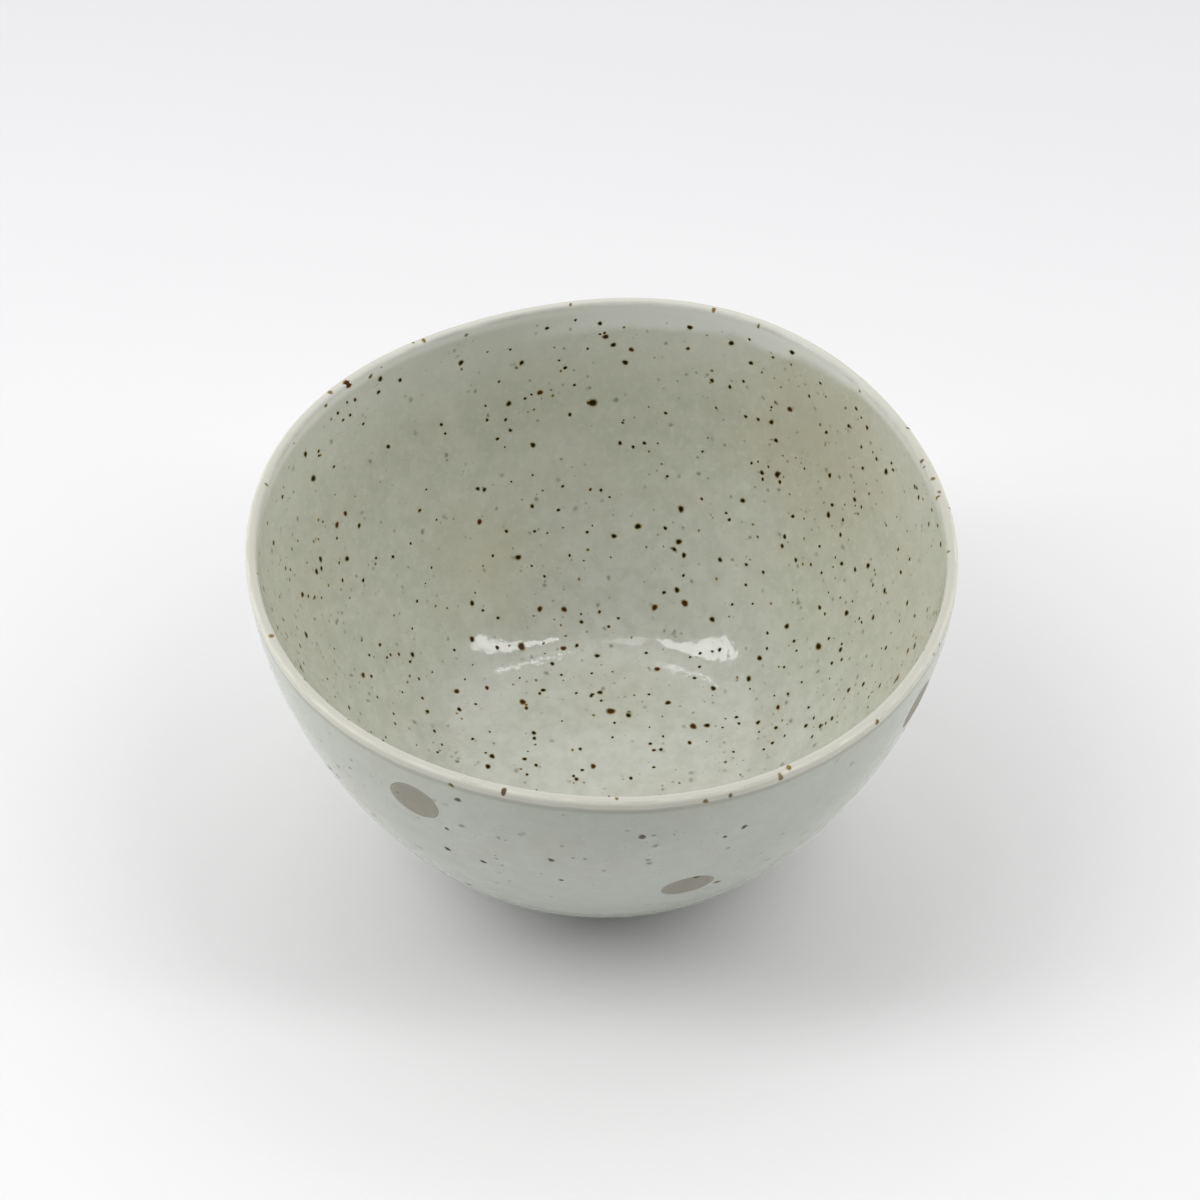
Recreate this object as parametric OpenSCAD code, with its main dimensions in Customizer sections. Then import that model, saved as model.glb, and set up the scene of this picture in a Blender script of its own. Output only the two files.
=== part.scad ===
// Small footed bowl of speckled stoneware, thrown on the wheel and eased out of true by hand.
// A bare foot ring is luted under the floor, a glaze is poured inside and another is dipped outside,
// and matte dots fill round windows in the outer coat.
// Millimetres, +Z up, origin on the table under the middle of the foot.

/* [Bowl] */
// Mean diameter over the glazed lip
rim_d = 150; // [120:1:190]
// Mean height of the glazed lip above the table
bowl_h = 85; // [68:1:110]
// How far the wall swells past the lip on its way down
belly_swell = 0.5; // [0:0.1:6]
// Length of the upright stretch that the wall keeps below the lip
upright = 27; // [12:0.5:36]
// Length of the flat run that the wall keeps as it leaves the base
base_run = 22; // [8:0.5:30]

/* [Clay] */
// Thickness of the clay at the lip
lip_t = 2.2; // [1.6:0.1:4]
// Thickness of the clay where the wall is at its fullest
wall_t = 3.6; // [2.6:0.1:6]
// Thickness of the clay in the floor
floor_t = 4.5; // [3:0.1:8]
// Diameter of the flat floor inside
floor_d = 67; // [50:1:76]
// Length of the turn from the floor into the inner wall
floor_turn = 16; // [8:0.5:20]

/* [Foot] */
// Outer diameter of the foot ring
foot_d = 58; // [46:1:70]
// Width of the foot ring
foot_w = 5; // [3:0.1:9]
// Height of the foot ring
foot_h = 4; // [2.5:0.1:9]
// Rounding of the foot ring's lower edges
foot_edge_r = 0.8; // [0.3:0.1:1.4]
// Width of the bare clay left between the foot ring and the outer glaze
bare_w = 2.5; // [1:0.1:5]

/* [Glaze] */
// Thickness of the glaze poured inside
liner_coat = 0.4; // [0.2:0.05:0.8]
// Thickness of the glaze dipped outside
outer_coat = 0.4; // [0.2:0.05:0.8]

/* [Dots] */
// Number of dots round the outside, upper and lower by turns
dot_count = 8; // [4:2:12]
// Diameter of a dot
dot_d = 11.2; // [6:0.2:14]
// Drop of the upper dots below the lip
upper_dot_drop = 13; // [9:0.5:20]
// Height of the lower dots above the table
lower_dot_rise = 46.5; // [34:0.5:54]
// Angle of the first dot round the bowl
first_dot_at = -120; // [-180:1:180]

/* [Hand shaping] */
// Depth of the three slow waves round the lip
three_waves = 0.65; // [0:0.05:1.5]
// Angle of a crest of the three waves
three_waves_at = -58; // [-180:1:180]
// Depth of the four waves round the lip
four_waves = 0.5; // [0:0.05:1]
// Angle of a crest of the four waves
four_waves_at = -30; // [-180:1:180]
// Depth of the five waves round the lip
five_waves = 0.35; // [0:0.05:1]
// Angle of a crest of the five waves
five_waves_at = 0; // [-180:1:180]
// Rise and fall of the lip where two sides stand higher
lip_saddle = 0.65; // [0:0.05:1.5]
// Angle of a high side of the lip
lip_saddle_at = 65; // [-180:1:180]

/* [Hidden] */
// Facets round the bowl
steps = 56;
// Steps along each wall curve, and round the lip
wall_steps = 13;
lip_steps = 6;
// How fast the hand shaping grows on its way up to the lip
shaping_growth = 1.5;
// How far a dot's plug reaches to each side of the clay's surface
plug_reach = 2;

clay_rim_r = rim_d / 2 - outer_coat;
foot_r = foot_d / 2;
base_r = foot_r + bare_w;
floor_z = foot_h + floor_t;
floor_r = floor_d / 2;
lip_r = lip_t / 2;
lip_z = bowl_h - outer_coat - lip_r;
lip_axis_r = clay_rim_r - lip_r;
// The bowl stays true up to its glazed floor
still_z = floor_z + liner_coat;
column = 360 / steps;

// Control points of the outer wall from the base up, and of the inner wall from the lip down
outer_curve = [
    [base_r, foot_h],
    [base_r + base_run, foot_h],
    [clay_rim_r + belly_swell, lip_z - upright],
    [clay_rim_r, lip_z]
];
inner_curve = [
    [clay_rim_r - lip_t, lip_z],
    [clay_rim_r + belly_swell - wall_t, lip_z - upright],
    [floor_r + floor_turn, floor_z],
    [floor_r, floor_z]
];

function bezier(p, t) =
    pow(1 - t, 3) * p[0] + 3 * t * pow(1 - t, 2) * p[1]
    + 3 * t * t * (1 - t) * p[2] + pow(t, 3) * p[3];

function bezier_run(p, t) =
    pow(1 - t, 2) * (p[1] - p[0]) + 2 * t * (1 - t) * (p[2] - p[1]) + t * t * (p[3] - p[2]);

// A point of the clay's profile with the way it faces: [radius, height, facing out, facing up]
function wall_point(curve, t) =
    let (at = bezier(curve, t), run = bezier_run(curve, t) / norm(bezier_run(curve, t)))
        [at[0], at[1], run[1], -run[0]];
function lip_point(turn) =
    [lip_axis_r + lip_r * cos(turn), lip_z + lip_r * sin(turn), cos(turn), sin(turn)];

// The clay's profile: up the outside to the crest of the lip, then down the inside to the floor
outer_line = [for (i = [0:wall_steps - 1]) wall_point(outer_curve, i / wall_steps)];
lip_outside = [for (i = [0:lip_steps / 2]) lip_point(180 * i / lip_steps)];
lip_inside = [for (i = [lip_steps / 2:lip_steps]) lip_point(180 * i / lip_steps)];
inner_line = [for (i = [1:wall_steps]) wall_point(inner_curve, i / wall_steps)];
dipped_line = concat(outer_line, lip_outside);
poured_line = concat(lip_inside, inner_line);
clay_line = concat(dipped_line, [for (i = [1:len(poured_line) - 1]) poured_line[i]]);

function backwards(line) = [for (i = [len(line) - 1:-1:0]) line[i]];
// A profile raised off the clay by a coat's thickness
function raised(line, coat) = [for (p = line) [p[0] + coat * p[2], p[1] + coat * p[3]]];

// Where the hand moves a point of the true round bowl: not at all at the floor, and most at the lip
function shaped(p, angle) =
    let (
        share = pow(max(0, p[1] - still_z) / (bowl_h - still_z), shaping_growth),
        push = three_waves * cos(3 * (angle - three_waves_at))
            + four_waves * cos(4 * (angle - four_waves_at))
            + five_waves * cos(5 * (angle - five_waves_at)),
        lift = lip_saddle * cos(2 * (angle - lip_saddle_at)),
        r = p[0] * (1 + share * push / clay_rim_r)
    )
    [r * cos(angle), r * sin(angle), p[1] + share * lift];

// A turned solid whose profile keeps the outside on its right, closed by flat ends or joined to itself.
// Rows that lie on the clay run backwards, so their squares are cut along the clay's own diagonals.
module turned(line, clay_rows = 0, joined = false) {
    rows = len(line);
    walls = [
        for (i = [0:joined ? rows - 1 : rows - 2], k = [0:steps - 1])
            let (
                a = i * steps + k,
                b = i * steps + (k + 1) % steps,
                c = (i + 1) % rows * steps + k,
                d = (i + 1) % rows * steps + (k + 1) % steps
            )
            each i < clay_rows - 1 || i == rows - 1
                ? [[a, c, b], [b, c, d]]
                : [[a, c, d], [a, d, b]]
    ];
    first_end = [for (k = [0:steps - 1]) k];
    last_end = [for (k = [steps - 1:-1:0]) (rows - 1) * steps + k];
    polyhedron(
        points = [for (p = line, k = [0:steps - 1]) shaped(p, k * column)],
        faces = joined ? walls : concat(walls, [first_end, last_end])
    );
}

// A patch of a coat over some rows of the clay's profile, from one column to another
module coat_patch(line, coat, from, to) {
    rows = len(line);
    cols = to - from + 1;
    clay = rows * cols;
    skin_points = [for (p = raised(line, coat), k = [from:to]) shaped(p, k * column)];
    clay_points = [for (p = line, k = [from:to]) shaped(p, k * column)];
    sheets = [
        for (i = [0:rows - 2], k = [0:cols - 2])
            let (a = i * cols + k, b = a + 1, c = a + cols, d = c + 1)
            each [
                [a, c, d], [a, d, b],
                [clay + a, clay + d, clay + c], [clay + a, clay + b, clay + d]
            ]
    ];
    border = concat(
        [for (k = [0:cols - 1]) k],
        [for (i = [1:rows - 1]) i * cols + cols - 1],
        [for (k = [cols - 2:-1:0]) (rows - 1) * cols + k],
        [for (i = [rows - 2:-1:1]) i * cols]
    );
    sides = [
        for (i = [0:len(border) - 1])
            let (a = border[i], b = border[(i + 1) % len(border)])
            each [[a, b, clay + a], [b, clay + b, clay + a]]
    ];
    polyhedron(points = concat(skin_points, clay_points), faces = concat(sheets, sides));
}

// The outer wall where a dot sits
radius_by_height = [for (p = outer_line) [p[1], p[0]]];
tilt_by_height = [for (p = outer_line) [p[1], acos(p[3])]];
function dot_angle(i) = first_dot_at + 360 * (i - 1) / dot_count;
function dot_height(i) = i % 2 == 1 ? bowl_h - upper_dot_drop : lower_dot_rise;
function dot_radius(i) = lookup(dot_height(i), radius_by_height);

// A short rod through the coat, square to the wall
module dot_plug(i) {
    translate(shaped([dot_radius(i), dot_height(i)], dot_angle(i)))
        rotate([0, lookup(dot_height(i), tilt_by_height), dot_angle(i)])
            cylinder(d = dot_d, h = 2 * plug_reach, center = true, $fn = 64);
}

dot_names = [for (i = [1:dot_count]) str("slip_dot_", i)];

// Thrown wall, floor and rounded lip
module clay_body() {
    color("#b3a288") turned(clay_line);
}

// Bare ring luted face to face under the floor, with its lower edges sponged round
module foot_ring() {
    color("#a8967b")
        rotate_extrude($fn = 96)
            translate([foot_r - foot_w, 0]) {
                translate([0, foot_edge_r]) square([foot_w, foot_h - foot_edge_r]);
                translate([foot_edge_r, 0]) square([foot_w - 2 * foot_edge_r, foot_h]);
                for (x = [foot_edge_r, foot_w - foot_edge_r])
                    translate([x, foot_edge_r]) circle(foot_edge_r, $fn = 32);
            }
}

// Coat poured inside, from the crest of the lip over the wall and the floor
module liner_glaze() {
    color("#b9bbae")
        turned(concat(backwards(poured_line), raised(poured_line, liner_coat)), len(poured_line));
}

// Coat dipped outside, from the bare clay by the foot to the crest of the lip, open where the dots are
module outer_glaze() {
    color("#c3c6bd")
        difference() {
            turned(
                concat(backwards(dipped_line), raised(dipped_line, outer_coat)),
                len(dipped_line),
                joined = true
            );
            for (i = [1:dot_count]) dot_plug(i);
        }
}

// Matte dot that fills its window, flush with the coat round it
module slip_dot(i) {
    // Rows and columns of the coat that reach past the dot on every side
    row_reach = dot_d / 2 + 1.5 * bowl_h / wall_steps;
    rows_near = [for (p = dipped_line) if (abs(p[1] - dot_height(i)) < row_reach) p];
    half_turn = asin(dot_d / 2 / dot_radius(i));
    from = floor((dot_angle(i) - half_turn) / column) - 1;
    to = ceil((dot_angle(i) + half_turn) / column) + 1;
    color("#8a8779")
        intersection() {
            coat_patch(rows_near, outer_coat, from, to);
            dot_plug(i);
        }
}

clay_body();
foot_ring();
liner_glaze();
outer_glaze();
for (i = [1:dot_count])
    slip_dot(i);
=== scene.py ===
import bpy
import numpy as np
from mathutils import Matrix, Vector


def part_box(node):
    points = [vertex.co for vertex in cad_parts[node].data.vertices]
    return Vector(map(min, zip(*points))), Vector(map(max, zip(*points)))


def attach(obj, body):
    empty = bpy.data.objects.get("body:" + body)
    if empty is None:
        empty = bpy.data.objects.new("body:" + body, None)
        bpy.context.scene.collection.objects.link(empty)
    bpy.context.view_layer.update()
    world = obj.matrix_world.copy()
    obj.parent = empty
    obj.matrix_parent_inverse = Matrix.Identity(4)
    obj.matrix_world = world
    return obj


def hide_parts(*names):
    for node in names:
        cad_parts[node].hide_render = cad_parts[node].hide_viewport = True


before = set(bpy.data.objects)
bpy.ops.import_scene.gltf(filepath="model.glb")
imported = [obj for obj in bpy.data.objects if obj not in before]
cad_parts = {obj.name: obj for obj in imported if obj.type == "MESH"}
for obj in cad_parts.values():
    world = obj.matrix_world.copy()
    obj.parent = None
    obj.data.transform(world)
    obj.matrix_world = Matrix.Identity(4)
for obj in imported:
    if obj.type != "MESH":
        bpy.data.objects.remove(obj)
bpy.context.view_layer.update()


# Clay body
# The thrown wall, floor and lip: one piece of buff stoneware with iron in it, raised on a wheel, turned
# under the floor when leather hard and eased out of true by hand. Only its underside stays bare.
MM = 0.001
rim_d = 150 * MM
bowl_h = 85 * MM
belly_swell = 0.5 * MM
upright = 27 * MM
base_run = 22 * MM
wall_t = 3.6 * MM
floor_t = 4.5 * MM
floor_d = 67 * MM
floor_turn = 16 * MM
foot_d = 58 * MM
foot_h = 4 * MM
bare_w = 2.5 * MM
coat = 0.4 * MM

# The lip is round on the outside, flat on top and square on the inside, and the floor is dished a little
lip_out = 0.6 * MM
lip_in = 1.0 * MM
lip_in_h = 1.25 * MM
lip_power = 4
floor_dish = 1.1 * MM
dish_from = 16 * MM

# Slow waves round the lip: how many, how deep, and the angle of a crest. The lip also sinks, most at the
# front, and all of it grows from nothing at the floor by a power of the height
lip_waves = [(3, 0.65 * MM, -58), (4, 0.5 * MM, -30), (5, 0.35 * MM, 0)]
lip_saddle = 0.65 * MM
lip_saddle_at = 65
lip_drop = 0.85 * MM
lip_lean = 0.4 * MM
shaping_growth = 1.5

# The thrower's spiral left in the wall, and how far from the lip and the base it fades in
ring_depth = 0.012 * MM
ring_pitch = 8.5 * MM
ring_fade = 12 * MM

# How finely the profile is worked out along the wall, round the lip and across the floor
wall_points = 700
lip_out_points = 50
lip_in_points = 120
floor_points = 160

clay_rim_r = rim_d / 2 - coat
base_r = foot_d / 2 + bare_w
floor_z = foot_h + floor_t
floor_r = floor_d / 2
crest_r = clay_rim_r - lip_out
crest_z = bowl_h - coat
still_z = floor_z + coat


def bezier(points, t):
    """A cubic curve: four points weighted by the four terms of ((1 - t) + t) cubed."""
    p = np.asarray(points)[:, None, :]
    t = t[:, None]
    s = 1 - t
    return s**3 * p[0] + 3 * s * s * t * p[1] + 3 * s * t * t * p[2] + t**3 * p[3]


def clay_profile():
    """Radius, height and facing of the clay against the distance run along it: up the outer curve from
    the base, a quarter circle to the crest of the lip and most of a quarter of a square oval from it,
    whose sides to a power add up to 1, down the inner curve, and along the floor, which sinks by a cube
    to its flat middle."""
    t = np.linspace(0, 1, wall_points)
    outer = bezier(
        [
            (base_r, foot_h),
            (base_r + base_run, foot_h),
            (clay_rim_r + belly_swell, crest_z - lip_out - upright),
            (clay_rim_r, crest_z - lip_out),
        ],
        t,
    )
    rise = np.linspace(0, np.pi / 2, lip_out_points)
    over_out = np.stack(
        [crest_r + lip_out * np.cos(rise), crest_z - lip_out + lip_out * np.sin(rise)], axis=-1
    )
    lean = (wall_t - belly_swell - lip_out - lip_in) / upright
    steepest = np.arctan((lean * lip_in_h / lip_in) ** (lip_power / (2 * lip_power - 2)))
    fall = np.linspace(np.pi / 2, steepest, lip_in_points)
    flat, down = np.maximum([np.cos(fall), np.sin(fall)], 0) ** (2 / lip_power)
    over_in = np.stack([crest_r - lip_in * flat, crest_z - lip_in_h + lip_in_h * down], axis=-1)
    edge_z = floor_z + floor_dish
    edge_slope = 3 * floor_dish / (floor_r - dish_from)
    inner = bezier(
        [
            tuple(over_in[-1]),
            (clay_rim_r + belly_swell - wall_t, crest_z - lip_in_h - upright),
            (floor_r + floor_turn, edge_z + floor_turn * edge_slope),
            (floor_r, edge_z),
        ],
        t,
    )
    across = np.linspace(floor_r, 0, floor_points)
    dish = np.clip((across - dish_from) / (floor_r - dish_from), 0, 1)
    floor = np.stack([across, floor_z + floor_dish * dish**3], axis=-1)
    line = np.concatenate([outer, over_out[1:], over_in[1:], inner[1:], floor[1:]])
    run = np.concatenate([[0], np.cumsum(np.hypot(*np.diff(line, axis=0).T))])
    heading = np.gradient(line, run, axis=0)
    heading /= np.linalg.norm(heading, axis=1)[:, None]
    crest = run[np.argmax(line[:, 1])]
    return run, line[:, 0], line[:, 1], heading[:, 1], -heading[:, 0], crest


profile_run, profile_r, profile_z, facing_out, facing_up, crest_run = clay_profile()
whole_run = profile_run[-1]


def eased(value):
    """A smooth step: three squares less two cubes of the value held between 0 and 1."""
    value = np.clip(value, 0, 1)
    return value * value * (3 - 2 * value)


def hand_shaped(r, z, angle):
    """The true round bowl as the hand leaves it: a share that grows from the floor to the lip of three
    waves in the radius, and in the height of a saddle, a drop and a lean to the front."""
    share = (np.maximum(0, z - still_z) / (bowl_h - still_z)) ** shaping_growth
    push = sum(depth * np.cos(n * (angle - np.radians(at))) for n, depth, at in lip_waves)
    saddle = lip_saddle * np.cos(2 * (angle - np.radians(lip_saddle_at)))
    r = r * (1 + share * push / clay_rim_r)
    rise = saddle - lip_drop + lip_lean * np.sin(angle)
    return np.stack([r * np.cos(angle), r * np.sin(angle), z + share * rise], axis=-1)


def on_bowl(run, angle, lift):
    """A point of the wall: the profile's point at that run, moved along its facing by the lift and by the
    thrower's spiral, a sine of the run that slips by one ring in each turn, and then shaped by hand."""
    run, angle, lift = np.broadcast_arrays(run, angle, lift)
    from_ends = np.minimum(np.minimum(run, np.abs(run - crest_run)), whole_run - run)
    spiral = ring_depth * np.sin(2 * np.pi * run / ring_pitch + angle) * eased(from_ends / ring_fade)
    lift = lift + spiral
    r = np.interp(run, profile_run, profile_r) + lift * np.interp(run, profile_run, facing_out)
    z = np.interp(run, profile_run, profile_z) + lift * np.interp(run, profile_run, facing_up)
    return hand_shaped(np.maximum(r, 0), z, angle)


def turned_faces(rows, cols, poles):
    """Faces of rows of points round an axis, outward where the rows climb the outside: squares between
    the rows, and either a fan at each end to one point, or squares from the last row back to the first."""
    last = rows - 1 if poles else rows
    i, k = np.meshgrid(np.arange(last), np.arange(cols), indexing="ij")
    above = (i + 1) % rows
    beside = (k + 1) % cols
    corners = [i * cols + k, i * cols + beside, above * cols + beside, above * cols + k]
    faces = np.stack(corners, axis=-1).reshape(-1, 4).tolist()
    if poles:
        k = np.arange(cols)
        beside = (k + 1) % cols
        end = (rows - 1) * cols
        first_pole = np.full(cols, rows * cols)
        faces += np.stack([first_pole, beside, k], axis=-1).tolist()
        faces += np.stack([end + k, end + beside, first_pole + 1], axis=-1).tolist()
    return faces


sharp_turn = 40


def new_piece(name, points, faces, slot, replaced=(), **marks):
    """A smooth mesh piece on the bowl's one body, with an edge left sharp where its faces turn by more
    than the sharp turn in degrees, and with a number at each point for each mark."""
    mesh = bpy.data.meshes.new(name)
    mesh.from_pydata(np.asarray(points).reshape(-1, 3).tolist(), [], faces)
    mesh.shade_smooth()
    mesh.set_sharp_from_angle(angle=np.radians(sharp_turn))
    for mark, values in marks.items():
        layer = mesh.attributes.new(mark, "FLOAT", "POINT")
        layer.data.foreach_set("value", np.asarray(values, np.float32).ravel())
    piece = bpy.data.objects.new(name, mesh)
    bpy.context.scene.collection.objects.link(piece)
    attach(piece, "root")
    if replaced:
        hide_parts(*replaced)
    return piece


class Shade:
    """A value on its way through a material's nodes. Sums and products of values add Math nodes."""

    def __init__(self, tree, socket=None):
        self.tree = tree
        self.socket = socket

    def node(self, kind, settings, sockets, out=0):
        """Any node: its type, its settings, its sockets' values or links, and which output goes on."""
        made = self.tree.nodes.new("ShaderNode" + kind)
        for name, value in settings.items():
            setattr(made, name, value)
        for name, value in sockets.items():
            if isinstance(value, Shade):
                self.tree.links.new(value.socket, made.inputs[name])
            else:
                made.inputs[name].default_value = value
        return Shade(self.tree, made.outputs[out])

    def maths(self, operation, first, second):
        return self.node("Math", {"operation": operation}, {0: first, 1: second})

    def __add__(self, other):
        return self.maths("ADD", self, other)

    def __radd__(self, other):
        return self.maths("ADD", other, self)

    def __sub__(self, other):
        return self.maths("SUBTRACT", self, other)

    def __rsub__(self, other):
        return self.maths("SUBTRACT", other, self)

    def __mul__(self, other):
        return self.maths("MULTIPLY", self, other)

    def __rmul__(self, other):
        return self.maths("MULTIPLY", other, self)

    def step(self, low, high):
        """0 below low, 1 above high, and smooth between; the other way round where low is the higher."""
        limits = {"Value": self, "From Min": low, "From Max": high}
        return self.node("MapRange", {"interpolation_type": "SMOOTHSTEP"}, limits)

    def tint(self, where_none, where_full):
        """One colour where this value is 0, turning into another where it is 1."""
        return self.node("Mix", {"data_type": "RGBA"}, {0: self, 6: where_none, 7: where_full}, out=2)


def new_material(name, **constants):
    """A surface whose unvarying numbers are set on the shader's own sockets, its shader, and its tree
    as a Shade to start from."""
    material = bpy.data.materials.new(name)
    material.use_nodes = True
    shader = material.node_tree.nodes["Principled BSDF"]
    for socket, value in constants.items():
        shader.inputs[socket.replace("_", " ")].default_value = value
    return material, shader, Shade(material.node_tree)


def feed(shader, **sockets):
    """Links what varies over a surface to its shader."""
    for name, value in sockets.items():
        value.tree.links.new(value.socket, shader.inputs[name.replace("_", " ")])


def place_on(start):
    """Object coordinates: metres from the middle of the foot, or a direction in the surround."""
    return start.node("TexCoord", {}, {}, out=3)


def axis_of(start, where, axis):
    """One coordinate of a place: 0 to the right, 1 to the back and 2 up."""
    return start.node("SeparateXYZ", {}, {0: where}, out=axis)


def rgb(red, green, blue):
    return (red, green, blue, 1)


def noise(start, where, scale, detail, roughness=0.5):
    """Cloudy values about 0.5, with as many clouds to the metre as the scale says."""
    settings = {"noise_dimensions": "3D"}
    sockets = {"Vector": where, "Scale": scale, "Detail": detail, "Roughness": roughness}
    return start.node("TexNoise", settings, sockets)


def dots_of(start, where, scale, size, soft):
    """1 in a small ball round each point of a loose three-way scatter, fading to 0 over a soft share."""
    settings = {"voronoi_dimensions": "3D", "feature": "F1"}
    distance = start.node("TexVoronoi", settings, {"Vector": where, "Scale": scale, "Randomness": 1})
    return distance.step(size * scale, size * (1 - soft) * scale)


buff = rgb(0.40, 0.33, 0.245)
pale_buff = rgb(0.47, 0.395, 0.30)
grog_tint = rgb(0.60, 0.53, 0.42)
clay_flush = rgb(0.36, 0.20, 0.10)
clay_iron = rgb(0.07, 0.04, 0.025)

# The flush starts and is full at these distances inside the edge of the base, and clouds move it so far
flush_from = 2.4 * MM
flush_full = 0.2 * MM
flush_waver = 4 * MM
clay_pit_depth = 0.06 * MM


def bare_stoneware(name):
    """Unglazed buff clay: grog and iron grains, a warm flush by the glaze, and a dry, pitted skin."""
    material, shader, start = new_material(name, IOR=1.45)
    where = place_on(start)
    cloud = noise(start, where, 70, 4)
    grain = noise(start, where, 1600, 3, 0.7)
    colour = cloud.step(0.35, 0.65).tint(buff, pale_buff)
    colour = (grain.step(0.42, 0.62) * 0.35).tint(colour, grog_tint)
    flat = start.node("VectorMath", {"operation": "MULTIPLY"}, {0: where, 1: (1, 1, 0)})
    from_axis = start.node("VectorMath", {"operation": "LENGTH"}, {0: flat}, out=1)
    flush = (from_axis + (cloud - 0.5) * flush_waver).step(base_r - flush_from, base_r - flush_full)
    colour = (flush * 0.55).tint(colour, clay_flush)
    iron_grains = dots_of(start, where, 420, 0.3 * MM, 0.5)
    colour = (iron_grains * 0.8).tint(colour, clay_iron)
    pits = grain + noise(start, where, 520, 2) * 0.8
    bump = start.node("Bump", {}, {"Strength": 0.6, "Distance": clay_pit_depth, "Height": pits})
    feed(shader, Base_Color=colour, Roughness=0.78 + grain * 0.2, Normal=bump)
    return material


columns = 360
angles = np.linspace(0, 2 * np.pi, columns, endpoint=False)

# Marks of the turning tool under the floor: fine rings, and a shallow dish within the foot ring
mark_pitch = 1.15 * MM
mark_depth = 0.05 * MM
mark_fade = 2 * MM
dish_depth = 0.9 * MM
dish_r = 22.5 * MM

# Rows of points under the floor, up the outside and over the lip to the middle, and the gap at a pole
under_count = 110
outside_count = 65
inside_count = 85
near_lip = 3 * MM
clay_pole_gap = 0.5 * MM

under_r = np.linspace(clay_pole_gap, base_r, under_count)[:, None]
tool_marks = mark_depth * np.sin(2 * np.pi * under_r / mark_pitch + angles)
dish_z = dish_depth * eased(1 - under_r / dish_r)
under_z = foot_h + dish_z + tool_marks * eased((base_r - under_r) / mark_fade)
under = np.stack([under_r * np.cos(angles), under_r * np.sin(angles), under_z], axis=-1)
wall_runs = np.append(
    np.linspace(0, crest_run - near_lip, outside_count)[1:],
    np.linspace(crest_run - near_lip, whole_run - clay_pole_gap, inside_count)[1:],
)
clay_rows = np.concatenate([under, on_bowl(wall_runs[:, None], angles, 0)])
clay_poles = [(0, 0, under_z[0].mean()), (0, 0, floor_z)]
clay_body = new_piece(
    "clay_body",
    np.concatenate([clay_rows.reshape(-1, 3), clay_poles]),
    turned_faces(len(clay_rows), columns, poles=True),
    "stoneware",
    ["clay_body"],
)
stoneware = bare_stoneware("bare_stoneware")
clay_body.data.materials.append(stoneware)


# Foot ring
# A ring of the same clay, thrown or coiled and luted under the floor with slurry, then turned true. Its
# lower edges are sponged round, and it stays bare so that the bowl doesn't stick to the kiln shelf.
foot_w = 5 * MM
foot_edge_r = 0.8 * MM
slurry_r = 0.7 * MM
seat_depth = 0.3 * MM
arc_points = 12
side_points = 9


def arc(r, z, radius, start, stop):
    """Points of part of a circle about (r, z), from one angle to another in degrees."""
    turn = np.radians(np.linspace(start, stop, arc_points))
    return np.stack([r + radius * np.cos(turn), z + radius * np.sin(turn)], axis=-1)


# The luted face reaches a little into the clay, whose dish and tool marks lie above the true plane
foot_out = foot_d / 2
foot_in = foot_out - foot_w
slurry_z = foot_h - slurry_r
seat_z = foot_h + seat_depth
sides = np.linspace(0, 1, side_points)[1:-1, None]
foot_line = np.concatenate(
    [
        arc(foot_in - slurry_r, slurry_z, slurry_r, 90, 0),
        (1 - sides) * (foot_in, slurry_z) + sides * (foot_in, foot_edge_r),
        arc(foot_in + foot_edge_r, foot_edge_r, foot_edge_r, 180, 270),
        arc(foot_out - foot_edge_r, foot_edge_r, foot_edge_r, 270, 360),
        (1 - sides) * (foot_out, foot_edge_r) + sides * (foot_out, slurry_z),
        arc(foot_out + slurry_r, slurry_z, slurry_r, 180, 90),
        [(foot_out + slurry_r, seat_z), (foot_in - slurry_r, seat_z)],
    ]
)
foot_rows = np.stack(
    [
        foot_line[:, :1] * np.cos(angles),
        foot_line[:, :1] * np.sin(angles),
        np.repeat(foot_line[:, 1:], columns, axis=1),
    ],
    axis=-1,
)
foot_ring = new_piece(
    "foot_ring",
    foot_rows,
    turned_faces(len(foot_rows), columns, poles=False),
    "stoneware",
    ["foot_ring"],
)
foot_ring.data.materials.append(stoneware)


# Liner glaze
# A glossy grey-green glaze poured inside and swirled round before firing. It thins to a cream edge on the
# crest of the lip, clouds where it ran, flushes warm in two places and lets faint grains of iron through.
mottle_tint = rgb(0.36, 0.37, 0.30)
warm_tint = rgb(0.52, 0.47, 0.37)
grain_tint = rgb(0.62, 0.64, 0.60)
fleck_tint = rgb(0.17, 0.165, 0.10)
dust_tint = rgb(0.13, 0.13, 0.085)
# Painted light: a paler tint for the top of the back wall inside, in place of the light it catches
painted_light_wall_tint = rgb(0.70, 0.715, 0.64)
torn_tint = rgb(0.80, 0.82, 0.77)
glaze_break_and_shade_tint = rgb(0.24, 0.24, 0.18)

# Millimetres from the crest: how far broad and small clouds shift where the glaze pools, how far down
# the wall at the back is painted paler, as painted light, and the same for the torn edge, which narrows to
# the right
pool_shift = (90, 25)
painted_light_wall_fade = 28
torn_shift = (14, 6)
torn_edge = (9, 6)
torn_narrowing = 8

# The same for the dark line, partly painted shade, and the satin crest, and how far clouds shift both
line_above = (1.3, 1.9)
line_below = (3.4, 2.2)
satin_edge = (2.4, 0.8)
crest_shift = 1.2

# Places across the bowl between which the back begins, the torn edge begins, and it narrows
back_begins = (-20 * MM, 65 * MM)
torn_begins = (-30 * MM, 5 * MM)
torn_narrows = (15 * MM, 70 * MM)


def point_mark(start, name):
    """The number that each point of a piece holds under a name."""
    return start.node("Attribute", {"attribute_name": name}, {}, out=2)


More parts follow.
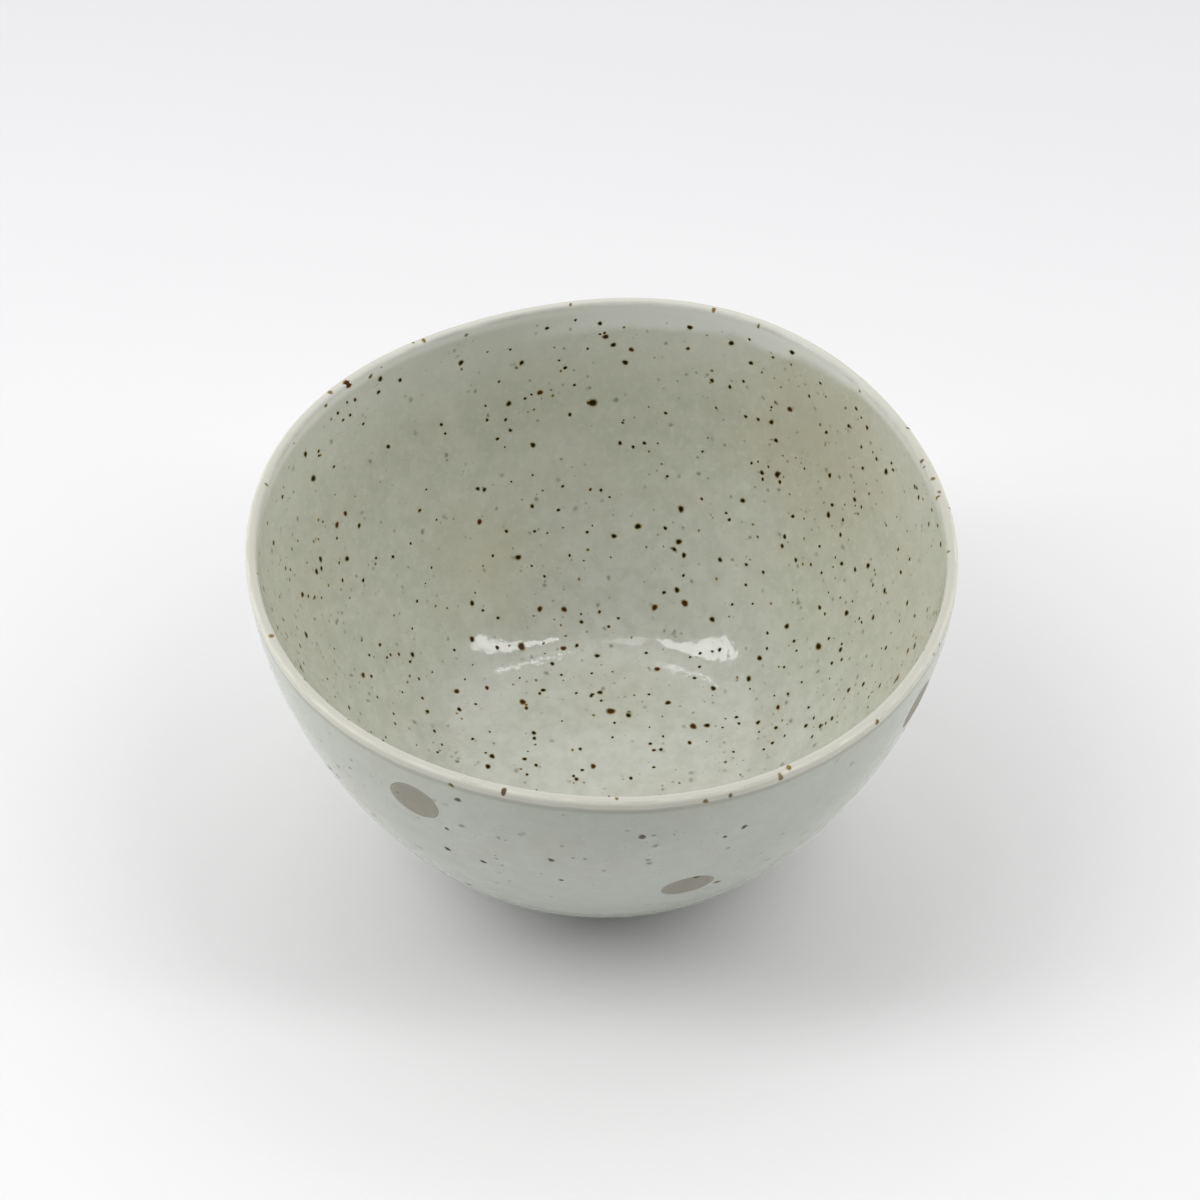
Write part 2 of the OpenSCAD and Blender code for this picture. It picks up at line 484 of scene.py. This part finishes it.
def glaze(name, thin, thick, pools, blushes, lip, gloss, mottled, skin_depth):
    """A glossy coat: an olive green where it is thin and a paler grey where it has run and pooled, in
    clouds and between two distances from the crest, warm flushes about given points and faint flecks. The
    crest is a satin cream, and below it are a pale band, a torn pale edge at the back, a paler wall there
    and a darker line, as wide or as strong as the lip's values say. The paler wall is painted light, the
    pale band is the glaze's thin cream edge and, where it is stronger at the back, partly painted light,
    and the darker line is partly the glaze breaking thin and partly painted shade under the lip. Each
    point holds its millimetres from the crest."""
    material, shader, start = new_material(name, IOR=1.52)
    where = place_on(start)
    from_crest = point_mark(start, "from_crest")
    broad = noise(start, where, 26, 3)
    cloud = noise(start, where, 95, 5, 0.6)
    grain = noise(start, where, 700, 3, 0.6)
    to_right = axis_of(start, where, 0)
    at_back = axis_of(start, where, 1).step(*back_begins)

    # The run glaze, its mottle, warm cast and pale grains, and the paler wall at the back, which is
    # painted light
    pooled = from_crest + (broad - 0.5) * pool_shift[0] + (cloud - 0.5) * pool_shift[1]
    colour = pooled.step(*pools).tint(thin, thick)
    mottle = noise(start, where, 240, 4, 0.6).step(0.3, 0.7)
    colour = (mottle * mottled).tint(colour, mottle_tint)
    warmth = noise(start, where, 55, 4, 0.55).step(0.45, 0.75)
    colour = (warmth * 0.2).tint(colour, warm_tint)
    colour = (grain.step(0.5, 0.75) * (0.9 * mottled)).tint(colour, grain_tint)
    colour = (from_crest.step(painted_light_wall_fade, 0) * at_back * lip["painted_light_on_wall"]).tint(colour, painted_light_wall_tint)

    # Flushes with a broken edge, and flecks and dust of iron in drifts
    for middle, reach, depth, flush in blushes:
        away = start.node("VectorMath", {"operation": "DISTANCE"}, {0: where, 1: middle}, out=1)
        warm = (away + (cloud - 0.5) * reach + (grain - 0.5) * (0.6 * reach)).step(reach, 0)
        colour = (warm * depth).tint(colour, flush)
    flecks = dots_of(start, where, 230, 0.42 * MM, 0.6) * noise(start, where, 60, 2).step(0.38, 0.62)
    colour = (flecks * 0.62).tint(colour, fleck_tint)
    dust = dots_of(start, where, 520, 0.26 * MM, 0.7) * noise(start, where, 45, 2).step(0.42, 0.62)
    colour = (dust * 0.5).tint(colour, dust_tint)

    # The lip, from the torn edge up to the bare crest
    torn = from_crest + (broad - 0.5) * torn_shift[0] + (cloud - 0.5) * torn_shift[1]
    torn = torn + to_right.step(*torn_narrows) * torn_narrowing
    torn = torn.step(*torn_edge) * to_right.step(*torn_begins) * at_back
    colour = (torn * lip["torn"]).tint(colour, torn_tint)
    # The pale band is the glaze's thin cream edge, and on the inside its extra strength at the back is
    # painted light on the back lip
    band = from_crest.step(lip["pale_to"], 0.5 * lip["pale_to"])
    band = band * (lip["pale_front"] + (lip["pale_back"] - lip["pale_front"]) * at_back)
    colour = band.tint(colour, lip["pale"])
    waver = from_crest + (cloud - 0.5) * crest_shift
    # The darker line is partly the glaze breaking thin and partly painted shade under the lip's roll
    line = waver.step(*line_above) * waver.step(*line_below)
    colour = (line * lip["break_and_shade_line"]).tint(colour, glaze_break_and_shade_tint)
    bare = waver.step(lip["bare_to"], 0.4 * lip["bare_to"]) * (0.95 - 0.2 * at_back)
    colour = bare.tint(colour, lip["bare"])

    # A skin that swells in three sizes, with two sizes of pinhole, and a satin crest
    satin = waver.step(*satin_edge)
    pits = dots_of(start, where, 300, 0.32 * MM, 0.9) + dots_of(start, where, 620, 0.2 * MM, 0.9) * 0.6
    swells = noise(start, where, 170, 1) * 7 + noise(start, where, 450, 1) * 4
    skin = swells + noise(start, where, 1300, 1) * 0.8 - pits * 2.2
    bump = start.node("Bump", {}, {"Strength": 1.0, "Distance": skin_depth, "Height": skin})
    feed(shader, Base_Color=colour, Roughness=gloss + grain * 0.05 + satin * 0.3, Normal=bump)
    return material


def coat_runs(first, last, rows):
    """Runs from one to another, closer together at both ends, as half a cosine wave spaces them."""
    return first + (last - first) * (1 - np.cos(np.pi * np.linspace(0, 1, rows))) / 2


# Rows of points on the lip and below it. A coat's hidden back has one row to so many on its face
lip_reach = 4 * MM
lip_row_count = 40
liner_row_count = 140
rows_to_back_row = 5
pole_gap = 0.4 * MM

liner_runs = np.append(
    np.linspace(crest_run, crest_run + lip_reach, lip_row_count),
    coat_runs(crest_run + lip_reach, whole_run - pole_gap, liner_row_count)[1:],
)[:, None]
backing_runs = liner_runs[::-rows_to_back_row]
liner_rows = np.concatenate([on_bowl(backing_runs, angles, 0), on_bowl(liner_runs, angles, coat)])
liner_crest = np.concatenate([backing_runs, liner_runs]) - crest_run + 0 * angles
liner_poles = [(0, 0, floor_z), (0, 0, floor_z + coat)]
liner = new_piece(
    "liner_glaze",
    np.concatenate([liner_rows.reshape(-1, 3), liner_poles]),
    turned_faces(len(liner_rows), columns, poles=True),
    "liner_glaze",
    ["liner_glaze"],
    from_crest=np.append(liner_crest.ravel(), [whole_run - crest_run] * 2) / MM,
)


def inside_point(angle, down):
    """A point of the glazed inside, by its angle in degrees and its distance down from the crest."""
    return tuple(on_bowl(crest_run + down, np.radians(angle), coat).tolist())


# Flushes: the middle, the reach, the depth of colour and the colour
liner_blushes = [
    (inside_point(44, 20 * MM), 34 * MM, 0.6, rgb(0.445, 0.42, 0.295)),
    (inside_point(122, 62 * MM), 24 * MM, 0.45, rgb(0.48, 0.455, 0.34)),
]
# Inside, the paler wall at the back is painted light on the top of the back wall, and the pale band is
# made stronger at the back, partly as painted light on the back lip
liner_lip = {
    "pale": rgb(0.81, 0.82, 0.76),
    "pale_to": 4.0,
    "pale_front": 0.2,
    "pale_back": 0.95,
    "painted_light_on_wall": 0.6,
    "torn": 0.8,
    "break_and_shade_line": 0,
    "bare": rgb(0.45, 0.442, 0.385),
    "bare_to": 1.6,
}
liner_look = glaze(
    "liner_glaze",
    thin=rgb(0.505, 0.512, 0.42),
    thick=rgb(0.56, 0.573, 0.507),
    pools=(20, 95),
    blushes=liner_blushes,
    lip=liner_lip,
    gloss=0.05,
    mottled=0.34,
    skin_depth=0.01 * MM,
)
liner.data.materials.append(liner_look)


# Outer glaze
# The same glaze on the outside, where the bowl was dipped upside down by its foot. It starts in a soft
# rolled edge that wavers a little above the foot and meets the liner on the crest of the lip.
line_waver = 0.35 * MM
line_waves = [(3, 1, 0.6), (7, 2, 0.4)]
edge_roll = 1.2 * MM
back_sink = 0.02 * MM
outer_row_count = 150

# The waver is two waves of the angle: how many to a turn, where each starts, and its share
waving = sum(share * np.sin(n * angles + phase) for n, phase, share in line_waves)
glaze_line = line_waver * (1 + waving)
climb = coat_runs(0, 1, outer_row_count)[:, None]
outer_runs = glaze_line + (crest_run - glaze_line) * climb
rolled = np.sqrt(1 - (1 - np.clip((outer_runs - glaze_line) / edge_roll, 0, 1)) ** 2)
under_runs = outer_runs[::-rows_to_back_row]
outer_rows = np.concatenate(
    [on_bowl(outer_runs, angles, coat * rolled), on_bowl(under_runs, angles, -back_sink)]
)
outer = new_piece(
    "outer_glaze",
    outer_rows,
    turned_faces(len(outer_rows), columns, poles=False),
    "outer_glaze",
    ["outer_glaze"],
    from_crest=(crest_run - np.concatenate([outer_runs, under_runs])) / MM,
)
outer_blushes = [((-20 * MM, 60 * MM, 50 * MM), 40 * MM, 0.3, rgb(0.42, 0.375, 0.28))]
# Outside, the darker line under the lip is partly the glaze breaking thin and partly painted shade
outer_lip = {
    "pale": rgb(0.615, 0.61, 0.525),
    "pale_to": 2.6,
    "pale_front": 0.95,
    "pale_back": 0.2,
    "painted_light_on_wall": 0,
    "torn": 0,
    "break_and_shade_line": 0.4,
    "bare": rgb(0.485, 0.476, 0.408),
    "bare_to": 0.4,
}
outer_look = glaze(
    "outer_glaze",
    thin=rgb(0.49, 0.519, 0.452),
    thick=rgb(0.516, 0.549, 0.488),
    pools=(0, 90),
    blushes=outer_blushes,
    lip=outer_lip,
    gloss=0.1,
    mottled=0.2,
    skin_depth=0.004 * MM,
)
outer.data.materials.append(outer_look)


# Slip dots
# Matte dots of taupe slip, each dabbed on by hand and flush with the glaze round it, upper and lower by
# turns. Each fills its own round window in the outer coat, down to the clay.
dot_d = 11.2 * MM
dot_proud = 0.04 * MM
dot_rim_drop = 0.01 * MM
dot_back = 0.05 * MM
dome_power = 6
dot_sides = 72
dot_rings = 18
first_share = 0.04

# Waves of a dot's edge: how many to a turn, how the place on the bowl shifts them, and how deep
dab_waves = [(2, 7, 0.012), (5, 3, 0.009)]


def wall_runs_at(height):
    """The run up the outside that comes to a height over the table."""
    outside = profile_run < crest_run
    return np.interp(height, profile_z[outside], profile_run[outside])


def slip_dot(name, slot):
    """A disc bent onto the wall: a point at a share of the radius and a turn lies the share times the
    cosine up the wall and times the sine round it. The face is a low dome, and a skirt and a back close
    it in the coat."""
    low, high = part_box(name)
    middle = (low + high) / 2
    at_run = wall_runs_at(middle.z)
    at_angle = np.arctan2(middle.y, middle.x)
    turn = np.linspace(0, 2 * np.pi, dot_sides, endpoint=False)
    uneven = 1 + sum(depth * np.sin(n * turn + shift * at_angle) for n, shift, depth in dab_waves)
    share = np.concatenate([np.linspace(first_share, 1, dot_rings), [1, first_share]])[:, None]
    lift = coat + dot_proud * (1 - share**dome_power)
    lift[-3] = coat - dot_rim_drop
    lift[-2:] = dot_back
    radius = share * uneven * dot_d / 2
    run = at_run + radius * np.cos(turn)
    angle = at_angle - radius * np.sin(turn) / np.interp(run, profile_run, profile_r)
    rows = on_bowl(run, angle, lift)[::-1]
    poles = [on_bowl(at_run, at_angle, dot_back), on_bowl(at_run, at_angle, coat + dot_proud)]
    return new_piece(
        name,
        np.concatenate([rows.reshape(-1, 3), poles]),
        turned_faces(len(rows), dot_sides, poles=True),
        slot,
        [name],
        from_middle=np.append((share[::-1] + 0 * turn).ravel(), [0, 0]),
    )


taupe = rgb(0.308, 0.29, 0.235)
pale_taupe = rgb(0.331, 0.313, 0.256)
chalk = rgb(0.40, 0.385, 0.34)
thin_slip = rgb(0.42, 0.41, 0.36)
chalk_depth = 0.02 * MM


def matte_slip(name):
    """Dry slip: streaks where it was dabbed, a thin edge that lets the glaze through, a chalky skin."""
    material, shader, start = new_material(name, IOR=1.45)
    where = place_on(start)
    cloud = noise(start, where, 240, 4, 0.6)
    grain = noise(start, where, 1500, 3, 0.6)
    colour = cloud.step(0.35, 0.65).tint(taupe, pale_taupe)
    colour = (grain.step(0.55, 0.75) * 0.25).tint(colour, chalk)
    ragged = point_mark(start, "from_middle") + (grain - 0.5) * 0.05
    colour = (ragged.step(0.8, 1.0) * 0.3).tint(colour, thin_slip)
    cover = ragged.step(1.0, 0.93)
    bump = start.node("Bump", {}, {"Strength": 0.5, "Distance": chalk_depth, "Height": grain})
    feed(shader, Base_Color=colour, Roughness=0.52 + grain * 0.2, Alpha=cover, Normal=bump)
    return material


slip = matte_slip("matte_slip")
dot_names = sorted(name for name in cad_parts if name.startswith("slip_dot_"))
for dot_name in dot_names:
    slip_dot(dot_name, "matte_slip").data.materials.append(slip)


# Iron specks
# Grains of iron in the clay that melt through the glaze in the kiln: dark beads with a golden edge and an
# olive stain round them, thick on the inside, sparse and soft on the outside, and golden on the thin lip.

# A speck's rings are at shares of its stain's reach, and it stands over the coat and roots in it. Near the
# axis the least radius serves to make an angle of a distance round it.
speck_sides = 10
speck_shares = np.array([0.3, 0.52, 0.72, 1.0])
speck_lift = 0.015 * MM
speck_root = 0.06 * MM
speck_bulge = 0.035
speck_oval = 0.13
speck_corners = 0.07
stain_reach = 1.5
least_turn_r = 2 * MM
speck_seed = 11
draw = np.random.default_rng(speck_seed)


def speck_faces(count):
    """A fan round each speck's middle point, squares between its rings, and a fan from the last ring to
    the root that closes it under the glaze."""
    rings = len(speck_shares)
    root = rings * speck_sides + 1
    edge = root - speck_sides
    k = np.arange(speck_sides)
    beside = (k + 1) % speck_sides
    fan = np.stack([np.zeros(speck_sides, int), 1 + k, 1 + beside], axis=-1)
    under = np.stack([np.full(speck_sides, root), edge + beside, edge + k], axis=-1)
    inner = (1 + np.arange(rings - 1) * speck_sides)[:, None]
    outer = inner + speck_sides
    squares = np.stack([inner + k, outer + k, outer + beside, inner + beside], axis=-1)
    start = (np.arange(count) * (root + 1))[:, None, None]
    threes = np.concatenate([fan, under]) + start
    fours = squares.reshape(-1, 4) + start
    return threes.reshape(-1, 3).tolist() + fours.reshape(-1, 4).tolist()


def iron_specks(name, slot, run, angle, diameter, tone, depth):
    """Specks bent onto the coat: a point at a share of the reach and a turn lies the share times the
    cosine along the wall and times the sine round it, stretched a little by two waves of the turn, under
    a low dome."""
    count = len(run)
    turn = np.linspace(0, 2 * np.pi, speck_sides, endpoint=False)
    phase = draw.uniform(0, 2 * np.pi, (2, count, 1))
    uneven = 1 + speck_oval * np.sin(2 * turn + phase[0]) + speck_corners * np.sin(3 * turn + phase[1])
    radius = (stain_reach * diameter / 2)[:, None, None] * uneven[:, None, :] * speck_shares[:, None]
    along = run[:, None, None] + radius * np.cos(turn)
    around_r = np.maximum(np.interp(along, profile_run, profile_r), least_turn_r)
    around = angle[:, None, None] - radius * np.sin(turn) / around_r
    dome = np.maximum(0, 1 - (stain_reach * speck_shares[:, None]) ** 2)
    bead = speck_bulge * diameter[:, None, None] * dome
    rings = on_bowl(along, around, coat + speck_lift + bead).reshape(count, -1, 3)
    middles = on_bowl(run, angle, coat + speck_lift + speck_bulge * diameter)[:, None, :]
    roots = on_bowl(run, angle, coat - speck_root)[:, None, :]
    points = np.concatenate([middles, rings, roots], axis=1)
    each = np.ones(points.shape[:2])
    return new_piece(
        name,
        points,
        speck_faces(count),
        slot,
        from_middle=np.concatenate([[0], np.repeat(speck_shares, speck_sides), [1]]) * each,
        tone=tone[:, None] * each,
        depth=depth[:, None] * each,
    )


black_iron = rgb(0.010, 0.007, 0.003)
rust_iron = rgb(0.050, 0.022, 0.007)
olive_iron = rgb(0.20, 0.145, 0.02)
soft_iron = rgb(0.19, 0.17, 0.075)
golden_rim = rgb(0.23, 0.16, 0.018)
rust_rim = rgb(0.25, 0.12, 0.018)
olive_stain = rgb(0.31, 0.26, 0.085)


def iron(name):
    """Melted iron: near black in the middle, golden brown at the rim, with an olive stain that fades
    into the glaze, all at shares of its reach. Its tone goes from black by rust to olive, and its depth
    from a soft shade to a crisp bead."""
    material, shader, start = new_material(name, IOR=1.5, Specular_IOR_Level=0.1)
    tone = point_mark(start, "tone")
    depth = point_mark(start, "depth")
    grain = noise(start, place_on(start), 4200, 2)
    ragged = point_mark(start, "from_middle") + (grain - 0.5) * 0.16
    crisp = depth.step(0.4, 0.7)
    rusty = tone.step(0.25, 0.6)
    olive = tone.step(0.7, 0.9)
    core = rusty.tint(black_iron, rust_iron)
    core = olive.tint(core, olive_iron)
    core = crisp.tint(soft_iron, core)
    rim = rusty.tint(golden_rim, rust_rim)
    colour = (ragged.step(0.46, 0.6) * crisp).tint(core, rim)
    colour = ragged.step(0.62, 0.8).tint(colour, olive_stain)
    bead = ragged.step(0.74, 0.58)
    stain = ragged.step(1.0, 0.55) * 0.45
    bead = bead + stain - bead * stain
    shade = ragged.step(0.95, 0.1)
    cover = (bead * crisp + shade * (1 - crisp)) * depth
    feed(shader, Base_Color=colour, Roughness=0.25 + grain * 0.2, Alpha=cover)
    return material


iron_look = iron("melted_iron")

# How a scatter crowds and drifts along the wall, and the shares and ranges of the kinds of speck: tones
# run from 0, black, by rust to 1, olive, and those under a size in millimetres may be olive
tries_each = 6
usual_crowd = 0.5
least_crowd = 0.06
short_drift = 9 * MM
long_drift = 14 * MM
black_share = 0.8
black_tones = (0, 0.3)
rust_tones = (0.4, 0.65)
olive_tone = 1
olive_under = 0.7
olive_from = 0.45
crisp_depths = (0.94, 1)
soft_depths = (0.18, 0.42)
soft_depth_limit = 0.5
soft_growth = 1.1


def scattered(count, first, last, crowding):
    """Runs and angles of points drawn evenly over the wall between two runs, then thinned to a crowd
    where a slow pattern of three waves round and along the wall is high."""
    tries = count * tries_each
    runs = draw.uniform(first, last, tries)
    turns = draw.uniform(0, 2 * np.pi, tries)
    area = np.interp(runs, profile_run, profile_r) / clay_rim_r
    leaning_back = np.sin(5 * turns - runs / short_drift)
    leaning_on = np.sin(3 * turns + runs / long_drift + 2)
    waves = np.sin(2 * turns + 0.6) + leaning_back + leaning_on
    kept = draw.uniform(0, 1, tries) < area * np.clip(usual_crowd + crowding * waves, least_crowd, 1)
    return runs[kept][:count], turns[kept][:count]


def drawn_sizes(count, usual, spread, least, most):
    """Diameters in millimetres, whose logarithms follow a bell curve about the usual one's."""
    return np.clip(draw.lognormal(np.log(usual), spread, count), least, most)


def speck_kinds(across, crisp_share):
    """Tone and depth of a draw of specks: a share of crisp ones, black or rust, with olive ones among
    the smaller, and soft ones between them."""
    count = len(across)
    kind = draw.uniform(0, 1, count)
    black = draw.uniform(*black_tones, count)
    rust = draw.uniform(*rust_tones, count)
    tone = np.where(kind < black_share, black, rust)
    tone = np.where((across < olive_under) & (kind > olive_from), olive_tone, tone)
    crisp = draw.uniform(0, 1, count) < crisp_share
    full = draw.uniform(*crisp_depths, count)
    faint = draw.uniform(*soft_depths, count)
    return tone, np.where(crisp, full, faint)


# Larger specks inside: angle in degrees, millimetres down from the crest, and millimetres across. Those
# on the floor are rust and those on the wall nearly black
large_specks = np.array(
    [
        (155, 15, 1.6), (92, 27, 2.0), (109, 24, 1.3), (105, 36, 1.3), (74, 6, 1.2), (88, 12, 1.2),
        (81, 58, 1.5), (71, 52, 1.5), (113, 63, 1.4), (19, 61, 1.8), (26, 14, 1.4), (51, 35, 1.5),
        (121, 84, 1.8), (82, 108, 1.9), (24, 99, 1.6), (70, 60, 1.4), (64, 74, 1.6), (73, 77, 1.4),
        (54, 4, 1.2), (18, 49, 1.4), (20, 36, 1.3), (156, 38, 1.3), (181, 34, 1.4), (153, 83, 1.3),
        (138, 97, 1.5), (232, 119, 1.3), (57, 45, 1.2), (130, 69, 1.2), (215, 60, 1.4), (300, 50, 1.5),
        (260, 70, 1.3), (330, 80, 1.4), (280, 30, 1.3), (240, 95, 1.2), (350, 25, 1.4), (200, 20, 1.2),
    ]
)
floor_down = 70
floor_tone = 0.5
wall_tone = 0.15
liner_speck_count = 1900

runs, turns = scattered(liner_speck_count, crest_run + 4 * MM, whole_run - 5 * MM, crowding=0.08)
small = drawn_sizes(len(runs), usual=0.68, spread=0.36, least=0.36, most=1.3)
tones, depths = speck_kinds(small, crisp_share=0.46)
small = np.where(depths < soft_depth_limit, small * soft_growth, small)
large_angles, large_downs, large_sizes = large_specks.T
liner_iron = iron_specks(
    "liner_iron_specks",
    "liner_glaze",
    np.append(runs, crest_run + large_downs * MM),
    np.append(turns, np.radians(large_angles)),
    np.append(small, large_sizes) * MM,
    np.append(tones, np.where(large_downs > floor_down, floor_tone, wall_tone)),
    np.append(depths, np.ones(len(large_specks))),
)
liner_iron.data.materials.append(iron_look)

# Larger specks outside: angle in degrees, millimetres over the table, and millimetres across
outside_specks = np.array(
    [
        (-84, 74, 1.5), (-98, 63, 1.2), (-68, 71, 1.3), (-71, 69, 1.0), (-112, 79, 1.3), (-115, 66, 1.0),
        (-74, 51, 1.3), (-140, 58, 1.3), (-30, 62, 1.4), (-10, 40, 1.2), (25, 66, 1.4), (50, 45, 1.3),
        (75, 70, 1.5), (110, 55, 1.4), (135, 72, 1.2), (160, 38, 1.4), (185, 60, 1.3), (210, 48, 1.2),
    ]
)
outside_tone = 0.35
outside_depth = 0.62
outer_speck_count = 420

runs, turns = scattered(outer_speck_count, 8 * MM, crest_run - 4 * MM, crowding=0.12)
small = drawn_sizes(len(runs), usual=0.92, spread=0.32, least=0.45, most=1.5)
tones, depths = speck_kinds(small, crisp_share=0.08)

# Specks on the lip, where the thin coat shows them golden: larger ones by their angle in degrees,
# millimetres from the crest to the inside, millimetres across, tone and depth, and scattered ones
lip_large = np.array(
    [
        (141, 0.9, 1.7, 0.55, 1.0),
        (147, 1.6, 0.9, 1.0, 0.75),
        (124, 0.4, 0.9, 1.0, 0.75),
        (136, 2.4, 1.1, 1.0, 0.75),
        (-104.7, -0.4, 1.1, 0.75, 0.7),
        (-112.9, -1.9, 1.0, 1.0, 0.7),
        (-74.8, -1.3, 1.0, 1.0, 0.7),
        (-71, -1.2, 0.9, 1.0, 0.7),
        (-44.3, -0.9, 1.0, 1.0, 0.7),
        (12, 0.5, 0.8, 1.0, 0.7),
        (-155, 0.3, 0.9, 1.0, 0.7),
        (70, 0.6, 0.9, 1.0, 0.75),
    ]
)
lip_count = 30
lip_runs = draw.uniform(-1.6, 2.4, lip_count)
lip_turns = draw.uniform(0, 360, lip_count)
lip_sizes = drawn_sizes(lip_count, usual=0.7, spread=0.3, least=0.45, most=1.1)
lip_tones = draw.uniform(0.8, 1, lip_count)
lip_depths = draw.uniform(0.6, 0.75, lip_count)
lip_scatter = np.stack([lip_turns, lip_runs, lip_sizes, lip_tones, lip_depths], axis=-1)
on_lip = np.concatenate([lip_large, lip_scatter])
out_angles, out_heights, out_sizes = outside_specks.T
each_large = np.ones(len(outside_specks))
outer_iron = iron_specks(
    "outer_iron_specks",
    "outer_glaze",
    np.concatenate([runs, wall_runs_at(out_heights * MM), crest_run + on_lip[:, 1] * MM]),
    np.concatenate([turns, np.radians(out_angles), np.radians(on_lip[:, 0])]),
    np.concatenate([small, out_sizes, on_lip[:, 2]]) * MM,
    np.concatenate([tones, outside_tone * each_large, on_lip[:, 3]]),
    np.concatenate([depths, outside_depth * each_large, on_lip[:, 4]]),
)
outer_iron.data.materials.append(iron_look)


# Studio
# A pale floor, two tall soft boxes and two wide ones to the left and right of the bowl, two thin strips
# and a small patch that show in its gloss, and the camera, which looks down at about 45 degrees.
floor_half = 4.0
# The floor is painted darker towards the back: painted shade that tones down the light from the bright
# wall behind the bowl
front_paper = rgb(0.80, 0.80, 0.80)
back_paper_painted_shade = rgb(0.735, 0.73, 0.745)
paper_turns = (-0.25, 0.35)

table = bpy.data.meshes.new("floor")
table.from_pydata(
    [(x * floor_half, y * floor_half, 0) for x, y in [(-1, -1), (1, -1), (1, 1), (-1, 1)]],
    [],
    [(0, 1, 2, 3)],
)
floor = bpy.data.objects.new("floor", table)
bpy.context.scene.collection.objects.link(floor)
paper, shader, start = new_material("paper", Roughness=0.9)
to_back = axis_of(start, place_on(start), 1)
feed(shader, Base_Color=to_back.step(*paper_turns).tint(front_paper, back_paper_painted_shade))
table.materials.append(paper)


def aimed(thing, place, target):
    """Sets an object at a place, looking along its own -Z at a target."""
    thing.location = place
    thing.rotation_euler = (Vector(target) - Vector(place)).to_track_quat("-Z", "Y").to_euler()
    bpy.context.scene.collection.objects.link(thing)


lamps_look_at = (0, 0, 0.04)


def soft_box(place, width, height, watts, mirrored, roll=0):
    """A flat lamp with the bowl in the middle of its beam, rolled about that beam by an angle in degrees.
    The glaze mirrors only the ones that are meant to show."""
    lamp = bpy.data.lights.new("soft_box", "AREA")
    lamp.shape = "RECTANGLE"
    lamp.size = width
    lamp.size_y = height
    lamp.energy = watts
    box = bpy.data.objects.new("soft_box", lamp)
    box.visible_glossy = mirrored
    aimed(box, place, lamps_look_at)
    box.rotation_euler.rotate_axis("Z", np.radians(roll))


soft_box((-0.637, -0.112, 0.766), width=0.21, height=0.85, watts=3.6, mirrored=True, roll=-4.2)
soft_box((0.595, -0.15, 0.793), width=0.13, height=0.85, watts=2.4, mirrored=True, roll=4.5)
soft_box((-0.836, 0, 0.996), width=1.2, height=1.2, watts=3.0, mirrored=False)
soft_box((0.836, 0, 0.996), width=1.2, height=1.2, watts=2.6, mirrored=False)
soft_box((-0.188, 0.416, 0.89), width=0.27, height=0.018, watts=0.11, mirrored=True, roll=6.5)
soft_box((0.254, 0.298, 0.91), width=0.44, height=0.035, watts=0.28, mirrored=True, roll=9.4)
soft_box((-0.14, -0.025, 0.998), width=0.37, height=0.11, watts=0.33, mirrored=True, roll=-37)

# The surround: a bright wall behind the bowl, dimmer overhead, and a dim room behind the camera. The
# wall and the ceiling begin between these parts of a direction to the back and up
wall_light = 1.42
ceiling_light = 0.91
room_light = 0.35
wall_begins = (-0.3, 0.3)
ceiling_begins = (0.3, 0.7)

world = bpy.data.worlds.new("studio")
bpy.context.scene.world = world
world.use_nodes = True
sky = Shade(world.node_tree)
direction = place_on(sky)
behind = axis_of(sky, direction, 1).step(*wall_begins)
overhead = axis_of(sky, direction, 2).step(*ceiling_begins)
ahead = wall_light + overhead * (ceiling_light - wall_light)
strength = behind * ahead + (1 - behind) * (1 - overhead) * room_light
background = world.node_tree.nodes["Background"]
world.node_tree.links.new(strength.socket, background.inputs["Strength"])
background.inputs["Color"].default_value = rgb(1, 1, 1)

camera_at = (0, -0.3729, 0.4536)
camera_looks_at = (-0.0005, -0.0107, 0.0732)
lens = bpy.data.cameras.new("camera")
lens.lens = 74.8
lens.sensor_width = 36
camera = bpy.data.objects.new("camera", lens)
aimed(camera, camera_at, camera_looks_at)
bpy.context.scene.camera = camera
bpy.context.scene.view_settings.view_transform = "Standard"
